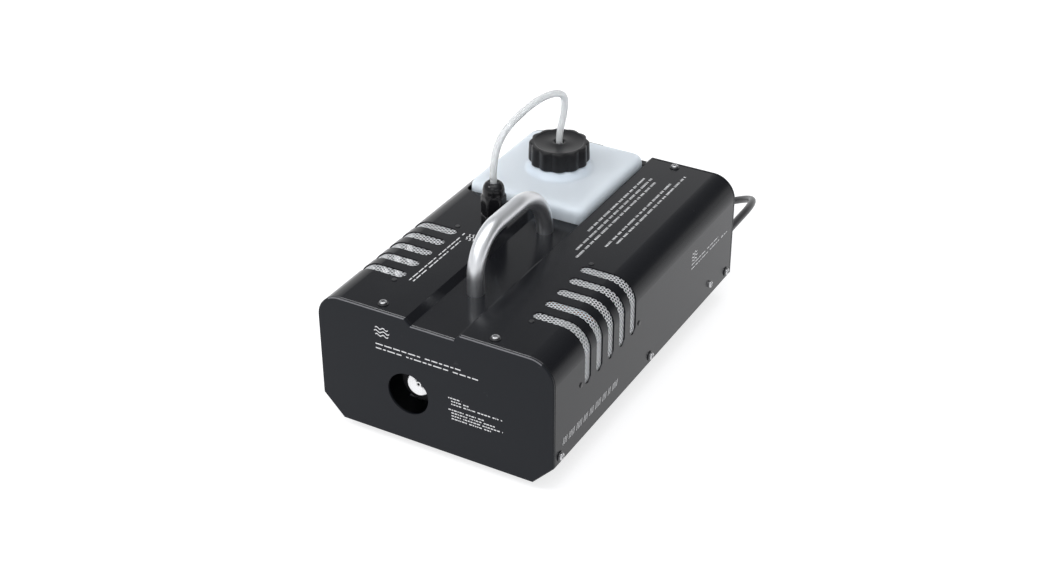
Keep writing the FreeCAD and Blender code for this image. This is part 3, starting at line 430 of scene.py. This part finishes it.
def make_hose():
    """Thin-walled hose: a mesh tube along the line, with its bore."""
    path_curve = spline_curve("hose_line", HOSE_ROUTE, 0.0)
    path_curve.resolution_u = 16
    probe = bpy.data.objects.new("hose_line", path_curve)
    scene.collection.objects.link(probe)
    line = bpy.data.meshes.new_from_object(probe)
    points = [Vector(v.co) for v in line.vertices]
    bpy.data.objects.remove(probe)
    shortest = 0.0008
    spots = [points[0]]
    for p in points[1:]:
        if (p - spots[-1]).length > shortest:
            spots.append(p)
    side = Vector((1, 0, 0))
    rings_out, rings_in = [], []
    n = 24
    outer, bore = 3.4, 2.3
    for i, p in enumerate(spots):
        way = (spots[min(i + 1, len(spots) - 1)] - spots[max(i - 1, 0)]).normalized()
        u = (side - way * side.dot(way)).normalized()
        w = way.cross(u)
        side = u
        for rings, r in ((rings_out, outer), (rings_in, bore)):
            ring = []
            for k in range(n):
                a = 2 * math.pi * k / n
                ring.append(tuple(p / MM + (u * math.cos(a) + w * math.sin(a)) * r))
            rings.append(ring)
    verts, faces = loft(rings_out + rings_in[::-1])
    last = len(rings_out) * 2 - 1
    for k in range(n):
        j = (k + 1) % n
        faces.append((last * n + k, last * n + j, j, k))
    hose = add("suction_tube", verts, faces, "clear_hose", "housing", ride=False)
    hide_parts("suction_hose")
    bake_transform(hose)
    return hose, [tuple(p) for p in spots]


def declare_cords():
    """Make the cords and the pieces on them."""
    cord = make_mains_cord()
    plug, tie = make_plug(), make_tie()
    hose, line = make_hose()


# ---- pump spring -----------------------------------------------------------------------------

def make_spring():
    """Pump return spring: a coil of round wire."""
    x, y0, z, span = 68.0, -84.1, 50.0, 21.2
    wire, radius, turns, steps, sides = 0.42, 3.1, 8, 24, 8
    rings = []
    for k in range(turns * steps + 1):
        a = 2 * math.pi * k / steps
        y = y0 + wire + (span - 2 * wire) * k / (turns * steps)
        ring = []
        for i in range(sides):
            b = 2 * math.pi * i / sides
            r = radius + wire * math.cos(b)
            ring.append((x + r * math.cos(a), y + wire * math.sin(b), z + r * math.sin(a)))
        rings.append(ring)
    verts, faces = loft(rings, close_start=True, close_end=True)
    spring = add("return_spring", verts, faces, "polished_steel", "housing")
    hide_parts("pump_spring")
    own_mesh(spring)


# ---- guard mesh ------------------------------------------------------------------------------

def holed_cell(corners, hole):
    """Eight points round a cell of the sheet, and the eight points of its round hole facing them."""
    (u0, ya), (u1, yb) = corners
    mid, cy = (u0 + u1) / 2, (ya + yb) / 2
    outer = [(u0, ya), (u0, cy), (u0, yb), (mid, yb), (u1, yb), (u1, cy), (u1, ya), (mid, ya)]
    inner = []
    for u, y in outer:
        a = math.atan2(y - cy, u - mid)
        inner.append((mid + hole * math.cos(a), cy + hole * math.sin(a)))
    return outer, inner


def make_guards():
    """Staggered round-hole sheet bent over each top corner; holes are cut where the slots show it.

    Along u the sheet runs from the flat of the top, round the inside of the corner, down the side.
    """
    pitch, hole, thick = 3.3, 1.32, 0.25
    row = pitch * 0.866
    y0, y1 = -147.0, -22.9
    bend = CORNER - SHEET
    flat_top, arc, flat_side = 37.0, bend * math.pi / 2, 35.5
    length = flat_top + arc + flat_side
    half_slot, top_margin, side_margin = 7.2, 5.0, 2.5
    stations = [Y_FRONT + SLOT_FIRST + SLOT_PITCH * i for i in range(SLOTS)]

    def place(u, y, depth, sx):
        """Point of the sheet at u and y, a depth inside its outer face; sx is the side, 1 or -1."""
        x, z = SIDE - CORNER, TOP - CORNER
        r = bend - depth
        if u < flat_top:
            return (sx * (x - flat_top + u), y, z + r)
        if u < flat_top + arc:
            a = (u - flat_top) / bend
            return (sx * (x + r * math.sin(a)), y, z + r * math.cos(a))
        return (sx * (x + r), y, z - (u - flat_top - arc))

    verts, faces = [], []

    def quad(points, sx):
        k = len(verts)
        verts.extend(points)
        order = tuple(range(k, k + len(points)))
        faces.append(order if sx < 0 else order[::-1])

    rows = int(length / row)
    cols = int((y1 - y0) / pitch) + 1
    for sx in (-1, 1):
        for j in range(rows):
            u0, u1 = j * row, (j + 1) * row
            mid = (u0 + u1) / 2
            shift = pitch / 2 if j % 2 else 0.0
            for i in range(-1, cols):
                ya = y0 + i * pitch + shift
                yb = ya + pitch
                if ya < y0 - 0.1 or yb > y1 + pitch:
                    continue
                cy = (ya + yb) / 2
                in_slot = any(abs(cy - s) < half_slot for s in stations)
                shown = in_slot and top_margin < mid < length - side_margin
                if not shown:
                    corners = [(u0, ya), (u0, yb), (u1, yb), (u1, ya)]
                    quad([place(u, y, 0, sx) for u, y in corners], sx)
                    continue
                outer, inner = holed_cell(((u0, ya), (u1, yb)), hole)
                for k in range(len(outer)):
                    q = (k + 1) % len(outer)
                    rim_k, rim_q = place(*inner[k], 0, sx), place(*inner[q], 0, sx)
                    quad([place(*outer[k], 0, sx), place(*outer[q], 0, sx), rim_q, rim_k], sx)
                    quad([rim_k, rim_q, place(*inner[q], thick, sx), place(*inner[k], thick, sx)], sx)
    guard = add("guard_mesh", verts, faces, "bare_steel_mesh", "housing", smooth=False)
    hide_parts("vent_meshes")


# ---- tank and cap ----------------------------------------------------------------------------

def make_tank():
    """Blow-moulded bottle: soft edges, a raised seat under the cap, the neck and its inside."""
    shoulder_z = 146.8
    seat_r, seat_z = 36.0, 147.1
    # height, inset from the sides, corner radius
    outside = ((50.4, 40, 6), (50.0, 12, 6), (50.3, 7.5, 7), (51.6, 3.8, 9.5), (54.0, 1.3, 11.5),
               (58.0, 0.2, 12), (70.0, 0.0, 12), (100.0, 0.3, 12.2), (130.0, 0.1, 12), (138.0, 0.0, 12),
               (141.5, 0.5, 11.6), (144.2, 1.9, 10.8), (146.0, 4.2, 9.6), (shoulder_z, 7.5, 8))
    inside = ((144.6, 9.0, 7), (143.2, 4.5, 8), (139.0, 2.6, 9.5), (60.0, 2.6, 9.5), (54.0, 4.0, 9),
              (52.6, 10.0, 7))
    # radius, height: the seat, up the neck, over its lip and down its bore to the tank's roof
    neck = ((seat_r, seat_z), (34.2, 147.5), (32.8, 148.9), (31.0, 151.3), (29.3, 153.6), (28.4, 154.4),
            (27.0, 154.6), (23.0, 154.6), (22.2, 154.9), (22.0, 156.0), (22.0, 170.0), (21.6, 170.5),
            (19.0, 170.5), (18.5, 170.0), (18.5, 147.0), (18.7, 144.9), (30.0, 144.6))

    def oblong(z, inset, r):
        return rounded_ring(*TANK_AT, TANK_HALF[0] - inset, TANK_HALF[1] - inset, r, z)

    rings = [oblong(*station) for station in outside]
    edge = rings[-1]

    def circle(radius, z):
        count = len(edge)
        turns = [2 * math.pi * (k + 0.5) / count for k in range(count)]
        return [(CAP_AT[0] + radius * math.cos(a), CAP_AT[1] + radius * math.sin(a), z) for a in turns]

    steps = 7
    for k in range(1, steps):
        f = k / steps
        z = shoulder_z + (seat_z - shoulder_z) * (f * f * (3 - 2 * f))
        rings.append([(e[0] + (t[0] - e[0]) * f, e[1] + (t[1] - e[1]) * f, z)
                      for e, t in zip(edge, circle(seat_r, seat_z))])
    rings += [circle(*station) for station in neck]
    rings += [oblong(*station) for station in inside]
    verts, faces = loft(rings, close_start=True, close_end=True)
    tank = add("tank_shell", verts, faces, "milky_polyethylene", "tank")
    sub = tank.modifiers.new("smooth", "SUBSURF")
    sub.levels = 1
    sub.render_levels = 1
    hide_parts("tank")


def make_cap():
    """Screw cap with twelve hollow flutes, a rounded rim and a sunk top."""
    lobes, n = 12, 288

    def fluted(depth):
        def shape(a):
            wave = 0.5 + 0.5 * math.cos(lobes * a + 0.4)
            return 1.0 - depth * (1.0 - wave ** 0.7)
        return shape

    # radius, height, depth of the flutes
    stations = ((22.6, 155.4, 0), (28.0, 155.2, 0.04), (29.6, 155.2, 0.065), (30.2, 155.9, 0.078),
                (30.3, 158.0, 0.082), (29.9, 171.4, 0.082), (29.8, 173.2, 0.078), (29.4, 174.3, 0.070),
                (28.7, 174.9, 0.060), (27.8, 175.0, 0.048), (25.6, 175.0, 0.014), (24.6, 174.9, 0),
                (24.0, 174.5, 0), (23.5, 174.3, 0), (9.0, 174.3, 0), (7.5, 174.6, 0), (5.3, 174.6, 0),
                (4.7, 174.1, 0), (4.6, 171.6, 0), (22.5, 171.6, 0), (22.6, 171.0, 0), (22.6, 155.4, 0))
    rings = [ring_at(CAP_AT, r, z, n, fluted(depth) if depth else None) for r, z, depth in stations]
    verts, faces = loft(rings)
    cap = add("cap_shell", verts, faces, "black_cap", "cap")
    sharpen(cap, 50)
    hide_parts("tank_cap")


# ---- hose feed-through -----------------------------------------------------------------------

def hex_shape(across, corner_r):
    """Radius factor of a hexagon with turned corners, relative to half its flats."""
    def shape(a):
        b = (a + math.pi / 6) % (math.pi / 3) - math.pi / 6
        return min(1.0 / math.cos(b), corner_r / (across / 2))
    return shape


def hex_loft(name, centre, profile):
    """Turned and hexagonal stations (radius, height, corner radius or 0 for round) as one piece."""
    rings = [ring_at(centre, r, z, 96, hex_shape(2 * r, corner) if corner else None)
             for r, z, corner in profile]
    verts, faces = loft(rings)
    piece = add(name, verts, faces, "black_nylon", "housing")
    sharpen(piece, 40)
    return piece


def make_feedthrough():
    """Hose feed-through: hexagonal base, threaded waist and a domed hexagonal nut."""
    low = hex_loft("gland_base", GLAND_AT, (
        (5.1, 137.9, 0), (10.6, 138.0, 11.0), (11.0, 138.4, 12.2), (11.0, 149.0, 12.2),
        (10.6, 149.8, 11.2), (9.2, 150.0, 0), (9.0, 150.6, 0), (5.1, 150.6, 0)))
    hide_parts("gland_body")
    top = hex_loft("gland_dome", GLAND_AT, (
        (9.7, 150.9, 0), (10.8, 150.9, 11.4), (11.0, 151.4, 12.1), (11.0, 168.6, 12.1),
        (10.85, 169.8, 11.4), (10.6, 170.6, 10.9), (10.5, 171.6, 0), (10.5, 174.6, 0), (10.2, 176.8, 0),
        (9.5, 179.2, 0), (8.3, 181.2, 0), (6.8, 182.5, 0), (5.2, 183.0, 0), (4.3, 182.7, 0),
        (4.0, 181.5, 0), (4.0, 172.0, 0)))
    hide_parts("gland_nut")


# ---- printed marks ---------------------------------------------------------------------------

def ink(name, quads):
    """Flat printing made of quads."""
    verts, faces = [], []
    for q in quads:
        k = len(verts)
        verts.extend(q)
        faces.append(tuple(range(k, k + len(q))))
    add(name, verts, faces, "white_ink", "housing", smooth=False)


def dashes(start, along, across, length, height, seed, gap, least=2.2, most=8.5):
    """A row of unequal dashes, as a stand-in for a line of small print."""
    rng = random.Random(seed)
    out = []
    s = 0.0
    left = rng.randint(3, 7)
    while s < length:
        run = min(rng.uniform(least, most), length - s)
        a = start + along * s
        b = start + along * (s + run)
        out.append([tuple(a), tuple(b), tuple(b + across * height), tuple(a + across * height)])
        left -= 1
        s += run + (gap if left else gap * 3)
        left = left or rng.randint(3, 7)
    return out


def hatch(start, along, across, length, height, seed):
    """Thin leaning strokes in unequal groups, as a stand-in for a large printed line."""
    stroke, pitch, space = 0.9, 2.8, 2.6
    rise = along * (height * 0.3) + across * height
    rng = random.Random(seed)
    out = []
    s = 0.0
    while s < length:
        for _ in range(rng.choice((2, 3, 3, 4))):
            a = start + along * s
            b = a + along * stroke
            out.append([tuple(a), tuple(b), tuple(b + rise), tuple(a + rise)])
            s += pitch
        s += space
    return out


def waves(centre, along, across, width):
    """A generic mist sign: stacked wavy strokes."""
    count, pitch, thick, swing, steps = 3, 3.6, 1.1, 0.9, 24
    out = []
    for k in range(count):
        off_centre = k - (count - 1) / 2
        span = width * (1.0 - 0.16 * abs(off_centre))
        base = centre + across * (pitch * off_centre)
        line = []
        for i in range(steps + 1):
            f = i / steps
            line.append(base + along * (span * (f - 0.5)) + across * (swing * math.sin(f * 4 * math.pi)))
        for p, q in zip(line, line[1:]):
            out.append([tuple(p), tuple(q), tuple(q + across * thick), tuple(p + across * thick)])
    return out


def make_marks():
    """Generic signs and dashes where the machine carries print: front, top and right side."""
    front = Y_FRONT - INK
    right, up, rear = Vector((1, 0, 0)), Vector((0, 0, 1)), Vector((0, 1, 0))
    marks = waves(Vector((-52, front, 116)), right, up, 16.0)
    marks += dashes(Vector((-59, front, 98)), right, up, 105, PRINT_H, 3, gap=1.6)
    marks += dashes(Vector((-59, front, 102.5)), right, up, 88, PRINT_H, 11, gap=1.6)
    for k, width in enumerate((14, 18, 52, 0, 36, 44, 52, 40)):
        if width:
            place = Vector((18 - 3 * (k in (0, 4)), front, 69.5 - 3.1 * k))
            marks += dashes(place, right, up, width, PRINT_H, 20 + k, gap=0.8, least=0.8, most=3.0)
    ink("marks_front", marks)
    lift = TOP + INK
    marks = waves(Vector((-49, -44, lift)), rear, right, 12.0)
    marks += dashes(Vector((-59, -136, lift)), rear, right, 96, PRINT_H, 41, gap=1.6)
    marks += dashes(Vector((-55, -136, lift)), rear, right, 82, PRINT_H, 43, gap=1.6)
    lines = ((39.5, 20, 122), (46, -16, 158), (52.5, -28, 166), (67, 2, 142), (73.5, 12, 150))
    for k, (x, y, width) in enumerate(lines):
        place = Vector((x, y, lift))
        marks += dashes(place, rear, right, width, 2.3, 60 + k, gap=1.0, least=0.6, most=1.7)
    ink("marks_top", marks)
    wall = SIDE + INK
    marks = hatch(Vector((wall, -176, 45)), rear, up, 96, 7.0, 80)
    marks += waves(Vector((wall, 90, 97)), rear, up, 13.0)
    marks += dashes(Vector((wall, 84, 85)), rear, up, 84, PRINT_H, 83, gap=1.6)
    marks += dashes(Vector((wall, 84, 89.5)), rear, up, 62, PRINT_H, 85, gap=1.6)
    ink("marks_side", marks)


# ---- studio ----------------------------------------------------------------------------------

def along_axis(tree, vector, axis):
    """How far the looked-at direction goes along an axis."""
    node = tree.nodes.new("ShaderNodeVectorMath")
    node.operation = "DOT_PRODUCT"
    node.inputs[1].default_value = axis
    tree.links.new(vector, node.inputs[0])
    return node.outputs["Value"]


def make_sky():
    """Studio surroundings: pale in front and overhead, dim behind, with a bright band low at the back."""
    world = bpy.data.worlds.new("studio")
    world.use_nodes = True
    t = world.node_tree
    direction = t.nodes.new("ShaderNodeTexCoord").outputs["Generated"]
    shift = t.nodes.new("ShaderNodeMath")
    shift.inputs[1].default_value = 0.5
    t.links.new(along_axis(t, direction, (-0.15, -0.45, 0.40)), shift.inputs[0])
    ramp = t.nodes.new("ShaderNodeValToRGB")
    stops = ((0.05, 0.03), (0.30, 0.14), (0.46, 0.34), (0.70, 0.62), (0.90, 0.76))
    for k, (place, level) in enumerate(stops):
        stop = ramp.color_ramp.elements[k] if k < 2 else ramp.color_ramp.elements.new(place)
        stop.position = place
        stop.color = (level * 0.96, level * 0.98, level, 1)
    t.links.new(shift.outputs["Value"], ramp.inputs["Fac"])
    glow = t.nodes.new("ShaderNodeMapRange")
    glow.inputs["From Min"].default_value = 0.98
    glow.inputs["From Max"].default_value = 1.24
    glow.inputs["To Max"].default_value = 0.9
    t.links.new(along_axis(t, direction, (-0.6, 2.4, -2.0)), glow.inputs["Value"])
    both = t.nodes.new("ShaderNodeMix")
    both.data_type = "RGBA"
    both.blend_type = "ADD"
    both.inputs["B"].default_value = (1, 1, 1, 1)
    t.links.new(glow.outputs["Result"], both.inputs["Factor"])
    t.links.new(ramp.outputs["Color"], both.inputs["A"])
    t.links.new(both.outputs["Result"], t.nodes["Background"].inputs["Color"])
    scene.world = world


def make_floor():
    """Wide pale floor that glows a little."""
    finish = bpy.data.materials.new("floor")
    finish.use_nodes = True
    b = finish.node_tree.nodes["Principled BSDF"]
    b.inputs["Base Color"].default_value = (0.40, 0.40, 0.41, 1)
    b.inputs["Roughness"].default_value = 0.9
    b.inputs["Emission Color"].default_value = (1, 1, 1, 1)
    b.inputs["Emission Strength"].default_value = 0.74
    half = 40
    corners = [(-half, -half, 0), (half, -half, 0), (half, half, 0), (-half, half, 0)]
    mesh = bpy.data.meshes.new("floor")
    mesh.from_pydata(corners, [], [(0, 1, 2, 3)])
    mesh.materials.append(finish)
    floor = bpy.data.objects.new("floor", mesh)
    scene.collection.objects.link(floor)


def make_lamp(name, place, aim, size, power):
    """Square area lamp pointed at its aim."""
    data = bpy.data.lights.new(name, "AREA")
    data.shape = "SQUARE"
    data.size = size
    data.energy = power
    lamp = bpy.data.objects.new(name, data)
    scene.collection.objects.link(lamp)
    lamp.location = place
    lamp.rotation_euler = (Vector(aim) - Vector(place)).to_track_quat("-Z", "Y").to_euler()


def make_studio():
    """Floor, sky and three soft lamps."""
    make_floor()
    make_sky()
    make_lamp("overhead", place=(0.2, -0.3, 2.2), aim=(0, 0, 0.05), size=1.8, power=22.0)
    make_lamp("key", place=(-1.05, -1.30, 1.90), aim=(0, 0, 0.1), size=0.7, power=15.0)
    make_lamp("front_soft", place=(0.5, -2.4, 1.7), aim=(0, 0, 0.1), size=1.4, power=7.0)
    scene.view_settings.view_transform = "Standard"


make_camera()
dress_nodes()
declare_cords()
make_spring()
make_guards()
make_tank()
make_cap()
make_feedthrough()
make_marks()
make_studio()
